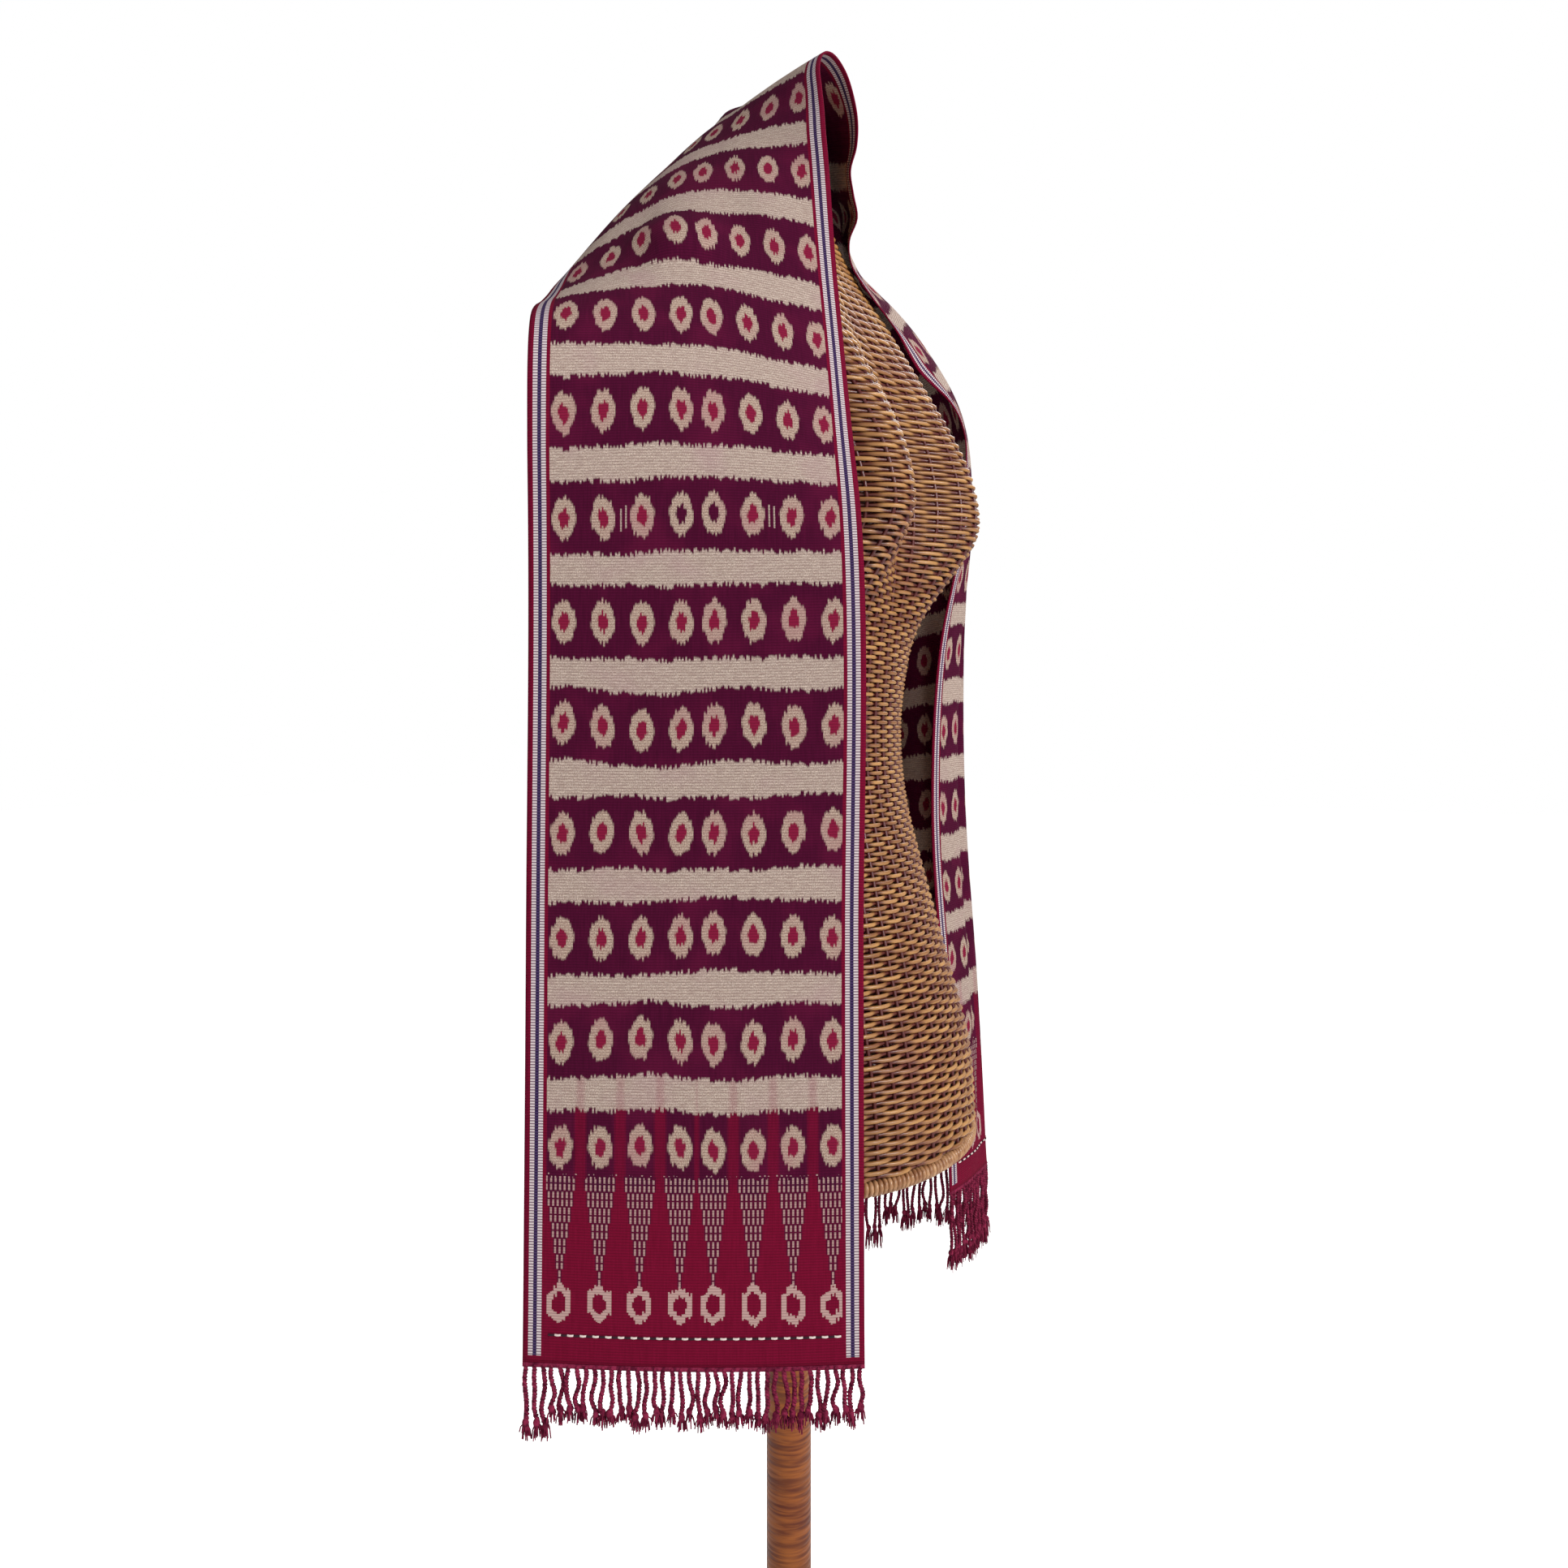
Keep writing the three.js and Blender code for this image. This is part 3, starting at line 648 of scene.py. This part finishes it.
# the stakes' value for the painted shade, which paints them nearly as dark as the hollows
STAKE_PAINTED_SHADE_DEPTH = -0.9
SKIN_GAP = 0.3
STAKE_INSET = WAVE + WEAVER_RADIUS + SKIN_GAP
WICKER_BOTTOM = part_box("wicker_body")[0].z / MM + WEAVER_RADIUS


def form_ring(angles, z, inset):
    section = smooth(form_sections[:, 0], form_sections[:, 1:], np.full(len(angles), z))
    half_width, half_depth, centre_y = section[:, 0], section[:, 1], section[:, 2]
    x = half_width * np.cos(angles)
    forward = np.maximum(-np.sin(angles), 0)
    y = centre_y + half_depth * np.sin(angles) - bust_reach(x, z) * forward
    out = np.stack([np.cos(angles) / half_width, np.sin(angles) / half_depth], axis=-1)
    out /= np.linalg.norm(out, axis=-1, keepdims=True)
    return np.stack([x - out[:, 0] * inset, y - out[:, 1] * inset, np.full(len(angles), z)], axis=-1)


def row_heights():
    heights = [WICKER_BOTTOM]
    while heights[-1] < FORM_TOP - ROWS_BELOW_TOP:
        z = heights[-1]
        ahead = smooth(form_sections[:, 0], form_sections[:, 1], np.array([z, z + 1.0]))
        lean = abs(ahead[1] - ahead[0])
        heights.append(z + max(ROW_PITCH / math.hypot(1, LEAN_SHARE * lean), SMALLEST_RISE))
    return np.array(heights)


def curve_piece(name, paths, radius, sides, cyclic):
    curve = bpy.data.curves.new(name, "CURVE")
    curve.dimensions = "3D"
    curve.bevel_depth = radius * MM
    curve.bevel_resolution = max((sides - 4) // 2, 0)
    curve.use_fill_caps = not cyclic
    for path in paths:
        spline = curve.splines.new("POLY")
        spline.points.add(len(path) - 1)
        spline.points.foreach_set("co", np.column_stack([path * MM, np.ones(len(path))]).ravel())
        spline.use_cyclic_u = cyclic
        spline.use_smooth = True
    piece = bpy.data.objects.new(name, curve)
    bpy.context.scene.collection.objects.link(piece)
    make_active(piece)
    bpy.ops.object.convert(target="MESH")
    return bpy.context.object


# each vertex gets its weaver's in-and-out value, which the material turns into painted shade
def mark_painted_shade_depth(piece, sides):
    count = len(piece.data.vertices)
    values = np.repeat(sides, math.ceil(count / len(sides)))[:count]
    depth = piece.data.attributes.new("depth", "FLOAT", "POINT")
    depth.data.foreach_set("value", values.astype(float))


heights = row_heights()
turns = len(FLOAT_BOW) * STAKES
step_angles = 2 * np.pi * (np.arange(turns) + 0.5) / turns
bow = np.tile(FLOAT_BOW, STAKES)
weaver_rows = []
row_sides = []
for number, z in enumerate(heights):
    side = np.where((np.arange(turns) // len(FLOAT_BOW) + number) % 2 == 0, bow, -bow)
    row_sides.append(side)
    weaver_rows.append(form_ring(step_angles, z, STAKE_INSET - WAVE * side))
bands = np.array_split(np.arange(len(weaver_rows)), 3)
wicker_pieces = []
for name, band in zip(("wicker_hips", "wicker_waist", "wicker_shoulders"), bands):
    wicker_pieces.append(curve_piece(name, [weaver_rows[i] for i in band], WEAVER_RADIUS, 6, True))
    mark_painted_shade_depth(wicker_pieces[-1], np.concatenate([row_sides[i] for i in band]))
stake_levels = np.arange(WICKER_BOTTOM, FORM_TOP - STAKES_BELOW_TOP, STAKE_STEP)
stake_paths = []
for k in range(STAKES):
    angle = np.array([2 * np.pi * (k + 0.5) / STAKES])
    stake_paths.append(np.concatenate([form_ring(angle, z, STAKE_INSET) for z in stake_levels]))
wicker_pieces.append(curve_piece("wicker_stakes", stake_paths, STAKE_RADIUS, 6, False))
mark_painted_shade_depth(wicker_pieces[-1], np.array([STAKE_PAINTED_SHADE_DEPTH]))
print("wicker rows", len(heights), [2 * len(p.data.polygons) for p in wicker_pieces])

# %% [markdown]
# Rattan core is a tan that browns unevenly along its length, with a thin coat of varnish. Painted shade
# darkens the hollows of the weave and the stakes behind it.
# %% Varnished rattan core
rattan, tree = new_material("varnished_rattan_core")
place = add(tree, "TexCoord", output=3)
stretched = add(tree, "Mapping", {"Vector": place, "Scale": (22.0, 22.0, 240.0)})
tone = noise(stretched, 1.0, 3.0)
patch = noise(place, 9.0, 2.0)
fibre = noise(place, 900.0, 2.0)
tan = add_mix(ramp(tone, 0.3, 0.7), linear("#86522C"), linear("#C28E52"))
tan = add_mix(times(ramp(patch, 0.5, 0.72), 0.5), tan, linear("#86504A"))
depth = add(tree, "Attribute", output=2, attribute_name="depth")
# painted shade: the weavers' hollows behind the stakes, and the stakes themselves, turn dark red-brown
tan = add_mix(ramp(depth, -1.0, 0.5), linear("#56181A"), tan)
bump = add(tree, "Bump", {"Strength": 0.25, "Distance": 0.0003, "Height": fibre})
finish_material(tree, {"Base Color": tan, "Roughness": 0.42, "Coat Weight": 0.15, "Normal": bump})
for piece in wicker_pieces:
    set_material(piece, rattan)

# %% [markdown]
# The lower edge is bound with rattan wound tightly round a core, which a fine helix around the
# oval gives. The pole is wrapped in flat split rattan, so it is a tube whose surface steps gently
# at each turn.
# %% Rim binding and wrapped pole
binding_low, binding_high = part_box("rim_binding")
binding_z = (binding_low.z + binding_high.z) / 2 / MM
binding_radius = (binding_high.z - binding_low.z) / 2 / MM
rim_width = binding_high.x / MM - binding_radius
rim_depth = binding_high.y / MM - binding_radius
RIM_SIDES = 96
WRAP_RADIUS = 2.1
WRAP_TURNS = 246
WRAP_STEPS = 10


def oval(angles, width, depth, z):
    return np.stack([width * np.cos(angles), depth * np.sin(angles), np.full(len(angles), z)], axis=-1)


helix = np.linspace(0, 2 * np.pi, WRAP_TURNS * WRAP_STEPS, endpoint=False)
rim_line = oval(helix, rim_width, rim_depth, binding_z)
rim_out = oval(helix, 1 / rim_width, 1 / rim_depth, 0)
rim_out /= np.linalg.norm(rim_out, axis=-1, keepdims=True)
winding = (WRAP_TURNS * helix)[:, None]
swing = binding_radius - WRAP_RADIUS
wrap_path = rim_line + swing * (rim_out * np.cos(winding) + np.array([[0, 0, 1.0]]) * np.sin(winding))
rim_wrap = curve_piece("rim_wrapping", [wrap_path], WRAP_RADIUS, 6, True)
core_path = oval(np.linspace(0, 2 * np.pi, RIM_SIDES, endpoint=False), rim_width, rim_depth, binding_z)
rim_core = curve_piece("rim_core", [core_path], swing, 8, True)

pole_low, pole_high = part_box("pole")
pole_radius = pole_high.x / MM
PEEL_WIDTH = 5.6
PEEL_ROWS = 5
PEEL_INSET, PEEL_RISE = 0.75, 0.7
MERGE_METRES = 0.00001
POLE_SIDES = 48
pole_rows = int((pole_high.z - pole_low.z) / MM / PEEL_WIDTH * PEEL_ROWS)
pole_z = np.linspace(pole_low.z / MM, pole_high.z / MM, pole_rows + 1)[:, None]
pole_angle = np.linspace(0, 2 * np.pi, POLE_SIDES + 1)[None, :]
peel_place = (pole_z / PEEL_WIDTH - pole_angle / (2 * np.pi)) % 1.0
peel_swell = np.sqrt(np.clip(1 - (2 * peel_place - 1)**4, 0, 1))
peel_crown = pole_radius - PEEL_INSET + PEEL_RISE * peel_swell
pole_grid = np.stack([peel_crown * np.cos(pole_angle), peel_crown * np.sin(pole_angle),
                      np.broadcast_to(pole_z, peel_crown.shape)], axis=-1)
pole_uv = np.stack(np.broadcast_arrays(pole_angle * pole_radius / CM, pole_z / CM), axis=-1)
pole = grid_object("wrapped_pole", pole_grid * MM, pole_uv)
make_active(pole)
bpy.ops.object.mode_set(mode="EDIT")
bpy.ops.mesh.select_all(action="SELECT")
bpy.ops.mesh.remove_doubles(threshold=MERGE_METRES)
bpy.ops.mesh.select_all(action="DESELECT")
bpy.ops.mesh.select_non_manifold()
bpy.ops.mesh.edge_face_add()
bpy.ops.mesh.select_all(action="SELECT")
bpy.ops.mesh.normals_make_consistent(inside=False)
bpy.ops.object.mode_set(mode="OBJECT")
print("pole rows", pole_rows, "faces", len(pole.data.polygons))

# %% [markdown]
# Split rattan is darker and glossier than the core, and the turned base and collar are stained
# hardwood with a waxed surface, whose grain runs one way across the disc.
# %% Split rattan peel and waxed hardwood
peel, tree = new_material("split_rattan_peel")
place = add(tree, "TexCoord", output=3)
stretched = add(tree, "Mapping", {"Vector": place, "Scale": (30.0, 30.0, 330.0)})
tone = noise(stretched, 1.0, 4.0)
patch = noise(place, 14.0, 2.0)
brown = add_mix(ramp(tone, 0.32, 0.68), linear("#5A220E"), linear("#94501F"))
brown = add_mix(times(ramp(patch, 0.45, 0.8), 0.45), brown, linear("#AC682E"))
bump = add(tree, "Bump", {"Strength": 0.3, "Distance": 0.0003, "Height": tone})
finish_material(tree, {"Base Color": brown, "Roughness": 0.4, "Specular IOR Level": 0.3, "Normal": bump})
set_material(pole, peel)

binding_peel, tree = new_material("rattan_binding_peel")
place = add(tree, "TexCoord", output=3)
tone = noise(place, 160.0, 3.0)
brown = add_mix(ramp(tone, 0.3, 0.7), linear("#93623F"), linear("#C09268"))
finish_material(tree, {"Base Color": brown, "Roughness": 0.42, "Coat Weight": 0.15})
set_material(rim_wrap, binding_peel)
set_material(rim_core, binding_peel)

hardwood, tree = new_material("stained_waxed_hardwood")
place = add(tree, "TexCoord", output=3)
grain_place = add(tree, "Mapping", {"Vector": place, "Scale": (60.0, 4.0, 60.0)})
grain = add(tree, "TexNoise", {"Vector": grain_place, "Scale": 2.0, "Detail": 5.0, "Distortion": 0.6})
pores = noise(grain_place, 14.0, 2.0)
wood = add_mix(ramp(grain, 0.3, 0.7), linear("#4A2817"), linear("#7B4A2B"))
wood = add_mix(times(ramp(pores, 0.55, 0.7), 0.4), wood, linear("#321A0F"))
bump = add(tree, "Bump", {"Strength": 0.15, "Distance": 0.0004, "Height": pores})
finish_material(tree, {"Base Color": wood, "Roughness": 0.38, "Coat Weight": 0.2, "Normal": bump})
for name in ("base", "pole_collar", "bottom_board"):
    set_material(nodes[name], hardwood)

# %% [markdown]
# The warp ends are twisted in pairs and knotted. Each strand follows the same line as in the
# measured model: it leaves the hem, hangs nearly straight and strays a little by an amount worked
# out from its number. Its levels are the hem, two bends, the knot and the end.
# %% Fringe strands
STRANDS = 40
GAP = 0.3
NEAR_LENGTH, FAR_LENGTH = 40, 76
CORNER_BUNCH = 3
BUNCH_LONGER = 1.3
LENGTH_SPREAD = 0.09
FIRST_STRAND = 0.012
STRAND_SWAY = 1.9
STRAND_SWING = 1.6
LEVELS = np.array([0, 0.32, 0.62, 0.8, 1])
KNOT = 3


def wander(seed):
    value = math.sin(seed * 127.1 + 11.7) * 43758.5453
    return 2 * (value - math.floor(value)) - 1


def point_along(row, share):
    at = min(share * (len(row) - 1), len(row) - 1.001)
    i = math.floor(at)
    return row[i] + (row[i + 1] - row[i]) * (at - i)


def strand_lines(hem, above_hem_row, length, seed):
    down = hem - above_hem_row
    down /= np.linalg.norm(down, axis=-1, keepdims=True)
    top = hem + down * GAP
    beside = hem[-1] - hem[0]
    beside[2] = 0
    beside /= np.linalg.norm(beside)
    outward = np.array([-beside[1], beside[0], 0])
    lines = []
    for n in range(STRANDS):
        share = FIRST_STRAND + (1 - 2 * FIRST_STRAND) * n / (STRANDS - 1)
        root = point_along(top, share) - np.array([0, 0, 1.0])
        in_bunch = n >= STRANDS - CORNER_BUNCH
        reach = length * (BUNCH_LONGER if in_bunch else 1 + LENGTH_SPREAD * wander(seed + n))
        line = [root]
        for k, level in enumerate(LEVELS[1:], start=1):
            sway = STRAND_SWAY * wander(seed + 7 * n + k) * min(level * 2, 1)
            swing = STRAND_SWING * wander(seed + 13 * n + k)
            point = root + beside * sway + outward * swing
            point[2] = root[2] - level * reach
            line.append(point)
        lines.append(np.array(line))
    return lines


# %% [markdown]
# Two thin plies wound round each other along the strand's line read as twisted cord at this size,
# a small lump is the knot, and a spray of short fibres is the frayed end. A few threads have come
# loose near the corners. A narrow strip of cloth heads the fringe, where the ends leave the hem.
# %% Plies, knots and frayed ends
STRIP_HEIGHT = 3.0
STRIP_THICKNESS = 1.5
PLY_RADIUS = 1.15
PLY_SWING = 0.95
PLY_PITCH = 5.0
PLY_POINTS = 7
CURL = 1.1
CURL_WAY = np.array([[0.5, -0.87, 0]])
KNOT_RADIUS = 2.5
FIBRES = 22
FIBRE_RADIUS = 0.5
FIBRE_SPREAD = 3.6
# strand (1 is the last, 0 the first) and how far the stray thread drifts aside, in millimetres
STRAYS = ((1, 3.5), (1, 1.5), (0, -2.0))
STRAY_POINTS = 9


def plies(line):
    length = np.linalg.norm(np.diff(line, axis=0), axis=-1).sum()
    count = int(length * LEVELS[KNOT] / PLY_PITCH * PLY_POINTS)
    levels = np.linspace(0, LEVELS[KNOT], count)
    waves = np.sin(levels * (7 + 2 * wander(line[0, 0])) + 3 * wander(line[0, 1]))
    bend = waves * CURL * np.minimum(levels * 4, 1)
    centre = smooth(LEVELS, line, levels) + bend[:, None] * CURL_WAY
    turn = 2 * np.pi * levels * length / PLY_PITCH
    circle = np.stack([np.cos(turn), np.sin(turn), 0 * turn], axis=-1) * PLY_SWING
    return [centre + circle, centre - circle]


def frayed_end(line, seed):
    fibres = []
    knot = smooth(LEVELS, line, np.array([0.78]))[0]
    reach = np.linalg.norm(line[-1] - line[KNOT])
    for f in range(FIBRES):
        lean = np.array([wander(seed + 3 * f), wander(seed + 5 * f + 1), 0]) * FIBRE_SPREAD
        drop = np.array([0, 0, -1.0]) * reach * (0.95 + 0.4 * wander(seed + f))
        fibres.append(np.array([knot, knot + lean * 0.8 + drop * 0.5, knot + lean + drop]))
    return fibres


def stray_threads(lines, length):
    paths = []
    across = lines[-1][0] - lines[0][0]
    for end, aside in STRAYS:
        beside = across * (aside / np.linalg.norm(across))
        drops = np.linspace(0, 1, STRAY_POINTS)[:, None]
        drift = (np.sin(drops * 2.2 + aside) * 0.4 + np.sqrt(drops)) * beside
        fall = drops * np.array([[0, 0, -(1.15 + 0.05 * aside) * length]])
        paths.append(lines[-end][0] + drift + fall)
    return paths


def knots_piece(name, centres):
    made = []
    for n, centre in enumerate(centres):
        bpy.ops.mesh.primitive_ico_sphere_add(subdivisions=2, radius=KNOT_RADIUS * MM,
                                              location=centre * MM)
        knot = bpy.context.object
        knot.scale = (1 + 0.2 * wander(n), 1 + 0.2 * wander(n + 50), 1.25)
        bpy.ops.object.transform_apply(location=True, rotation=True, scale=True)
        made.append(knot)
    bpy.ops.object.select_all(action="DESELECT")
    for knot in made:
        knot.select_set(True)
    bpy.context.view_layer.objects.active = made[0]
    bpy.ops.object.join()
    bpy.ops.object.shade_smooth()
    bpy.context.object.name = name
    return bpy.context.object


def hem_strip(name, hem, above_hem_row):
    down = hem - above_hem_row
    down /= np.linalg.norm(down, axis=-1, keepdims=True)
    grid = np.stack([hem + down * GAP, hem + down * (GAP + STRIP_HEIGHT)])
    grid = refined(grid, (2, 96))
    piece = grid_object(name, grid * MM, np.zeros(grid.shape[:2] + (2,)))
    thicken(piece, STRIP_THICKNESS)
    return piece


# %% [markdown]
# The ends are dyed with the cloth, so they are the same crimson, a little worn and fluffy. Both
# fringes are made alike and differ only in their length.
# %% Twisted cotton and both fringes
twisted, tree = new_material("twisted_cotton_ends")
place = add(tree, "TexCoord", output=3)
tone = noise(place, 260.0, 2.0)
fluff = noise(place, 2200.0, 2.0)
red = add_mix(ramp(tone, 0.3, 0.7), linear("#560C28"), linear("#8E2848"))
bump = add(tree, "Bump", {"Strength": 0.4, "Distance": 0.0003, "Height": fluff})
finish_material(tree, {"Base Color": red, "Roughness": 0.95, "Specular IOR Level": 0.15, "Normal": bump})


def make_fringe(side, hem, above_hem_row, length, seed):
    lines = strand_lines(hem, above_hem_row, length, seed)
    cords = [ply for line in lines for ply in plies(line)]
    fibres = [fibre for n, line in enumerate(lines) for fibre in frayed_end(line, seed + 31 * n)]
    fibres += stray_threads(lines, length)
    pieces = [
        hem_strip(f"fringe_{side}_heading", hem, above_hem_row),
        curve_piece(f"fringe_{side}_strands", cords, PLY_RADIUS, 4, False),
        knots_piece(f"fringe_{side}_knots", [line[KNOT] for line in lines]),
        curve_piece(f"fringe_{side}_ends", fibres, FIBRE_RADIUS, 4, False)]
    for piece in pieces:
        set_material(piece, twisted)
    return pieces


near_fringe = make_fringe("near", cloth[0], cloth[1], NEAR_LENGTH, 3)
far_fringe = make_fringe("far", cloth[-1], cloth[-2], FAR_LENGTH, 71)
print("fringe faces", [len(p.data.polygons) for p in near_fringe + far_fringe])

# %% [markdown]
# A running stitch of one white and one dark thread holds the last weft, a finger's width above
# each hem. The white and the dark lengths come up in turn, so each is a short thick thread that
# lies on the cloth's outer face, placed by the same coordinates as the pattern.
# %% Hem stitching
STITCH_PITCH = 8.9
STITCH_RADIUS = 0.75
STITCH_POINTS = 5
STITCH_FROM, STITCH_TO = 17.0, 223.0
END_LIFT, MIDDLE_LIFT = 0.6, 1.3


def on_cloth(along, across, lift):
    i = min(int(along / cloth_length * FINE_ALONG), FINE_ALONG)
    at = np.asarray(across) / CLOTH_WIDTH * FINE_ACROSS
    columns = np.arange(FINE_ACROSS + 1)
    place, facing = (np.stack([np.interp(at, columns, row[:, axis]) for axis in range(3)], axis=-1)
                     for row in (fine[i], normals[i]))
    return place - facing * lift


def stitches(name, along, start):
    paths = []
    for left in np.arange(STITCH_FROM + start, STITCH_TO - STITCH_PITCH / 2, STITCH_PITCH):
        across = np.linspace(left, left + STITCH_PITCH / 2, STITCH_POINTS)
        rise = np.sin(np.linspace(0, np.pi, STITCH_POINTS))[:, None]
        low = on_cloth(along, across, END_LIFT)
        high = on_cloth(along, across, MIDDLE_LIFT)
        paths.append(low * (1 - rise) + high * rise)
    return curve_piece(name, paths, STITCH_RADIUS, 6, False)


undyed, tree = new_material("undyed_cotton_thread")
finish_material(tree, {"Base Color": linear("#E2D3CC"), "Roughness": 0.9})
dark_thread, tree = new_material("dark_cotton_thread")
finish_material(tree, {"Base Color": linear("#2A0A1A"), "Roughness": 0.9})
hem_threads = []
for side, along in (("near", HEM_STITCH * CM), ("far", cloth_length - HEM_STITCH * CM)):
    light = stitches(f"stitches_{side}_light", along, 0)
    dark = stitches(f"stitches_{side}_dark", along, STITCH_PITCH / 2)
    set_material(light, undyed)
    set_material(dark, dark_thread)
    hem_threads += [light, dark]
print("stitch pieces", len(hem_threads))

# %% [markdown]
# Everything rides on the one body, and each new piece hides the measured solid that it stands
# for.
# %% Body and hidden solids
for piece in wicker_pieces:
    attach(piece, "root")
    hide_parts("wicker_body")
for piece in (rim_wrap, rim_core):
    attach(piece, "root")
    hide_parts("rim_binding")
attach(pole, "root")
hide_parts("pole")
for piece in near_fringe:
    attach(piece, "root")
    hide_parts("fringe_near")
for piece in far_fringe:
    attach(piece, "root")
    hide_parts("fringe_far")
for piece in hem_threads:
    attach(piece, "root")
    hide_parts("scarf")
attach(scarf, "root")
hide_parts("scarf")
